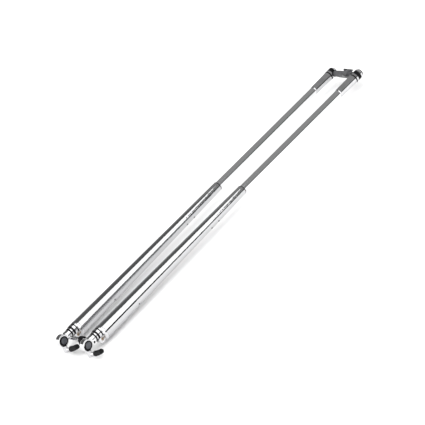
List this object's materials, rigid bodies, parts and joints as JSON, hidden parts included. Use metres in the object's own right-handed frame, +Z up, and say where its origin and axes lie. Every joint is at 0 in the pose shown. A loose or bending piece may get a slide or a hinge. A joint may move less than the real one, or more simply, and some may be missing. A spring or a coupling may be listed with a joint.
{
  "type": "spreader beam",
  "caption": "Twin-arm telescopic spreader beam: chromed tapered tubes, sliding inner tubes, button knuckles with swing-out feet, cross bar and a tilting end bracket.",
  "frame": {"origin": "middle of the cross bar, on its axis", "axes": "+X along the arms from the knuckles to the bracket, +Y across towards the left arm, +Z up"},
  "size_m": [1.2395, 0.1958, 0.0574],
  "materials": {
    "chrome": "mirror polished chrome plate",
    "cast_chrome": "polished chrome on a casting, softer than the tubes",
    "rubber": "matte black rubber",
    "nylon": "matte black moulded nylon",
    "button": "dark grey moulded plastic, fine texture",
    "liner": "pale acetal",
    "steel": "machined steel",
    "black_steel": "black oxide",
    "bracket_grey": "dark grey paint over a casting, satin"
  },
  "bodies": {
    "arms": {"outer_tube_left": "chrome", "outer_tube_right": "chrome", "guide_sleeve_left": "liner", "guide_sleeve_right": "liner", "mouth_wiper_left": "nylon", "mouth_wiper_right": "nylon", "rear_guide_left": "liner", "rear_guide_right": "liner", "tube_screws_left": "black_steel", "tube_screws_right": "black_steel", "knuckle_left": "cast_chrome", "knuckle_right": "cast_chrome", "button_bezel_left": "rubber", "button_bezel_right": "rubber", "neck_bands_left": "rubber", "neck_bands_right": "rubber", "clamp_collar_left": "cast_chrome", "clamp_collar_right": "cast_chrome", "pinch_bolt_left": "steel", "pinch_bolt_right": "steel", "pinch_nut_left": "steel", "pinch_nut_right": "steel", "foot_pin_left": "steel", "foot_pin_right": "steel", "cross_bar": "chrome"},
    "extension": {"inner_tube_left": "chrome", "inner_tube_right": "chrome", "inner_plug_left": "nylon", "inner_plug_right": "nylon", "far_sleeve_left": "cast_chrome", "far_sleeve_right": "cast_chrome", "far_bands_left": "rubber", "far_bands_right": "rubber", "far_cap_left": "nylon", "far_cap_right": "nylon", "far_shaft": "steel"},
    "bracket": {"bracket": "bracket_grey", "bracket_bushes": "nylon", "bracket_pad": "rubber", "bracket_bolt": "steel"},
    "keeper": {"keeper": "nylon"},
    "foot_left": {"foot_left": "cast_chrome", "foot_tip_left": "rubber"},
    "button_left": {"button_left": "button", "button_spring_left": "steel"},
    "foot_right": {"foot_right": "cast_chrome", "foot_tip_right": "rubber"},
    "button_right": {"button_right": "button", "button_spring_right": "steel"}
  },
  "joints": [
    {"name": "telescope", "type": "slide", "parent": "arms", "child": "extension", "axis": [1, 0, 0], "range_m": [-0.39, 0.03]},
    {"name": "bracket_tilt", "type": "hinge", "parent": "extension", "child": "bracket", "pos_m": [1.177, 0, 0.0045], "axis": [0, 1, 0], "range_deg": [-60, 60]},
    {"name": "keeper_swing", "type": "hinge", "parent": "arms", "child": "keeper", "pos_m": [0, -0.014, 0], "axis": [0, 1, 0], "range_deg": [-60, 0]},
    {"name": "foot_swing_left", "type": "hinge", "parent": "arms", "child": "foot_left", "pos_m": [-0.023, 0.052, -0.0225], "axis": [0, 0, 1], "range_deg": [-90, 0]},
    {"name": "foot_swing_right", "type": "hinge", "parent": "arms", "child": "foot_right", "pos_m": [-0.023, -0.052, -0.0225], "axis": [0, 0, 1], "range_deg": [-90, 0]},
    {"name": "button_press_left", "type": "slide", "parent": "arms", "child": "button_left", "axis": [0, 1, 0], "range_m": [0, 0.003], "stiffness_N_per_m": 800, "springref_m": -0.002},
    {"name": "button_press_right", "type": "slide", "parent": "arms", "child": "button_right", "axis": [0, 1, 0], "range_m": [0, 0.003], "stiffness_N_per_m": 800, "springref_m": -0.002}
  ]
}
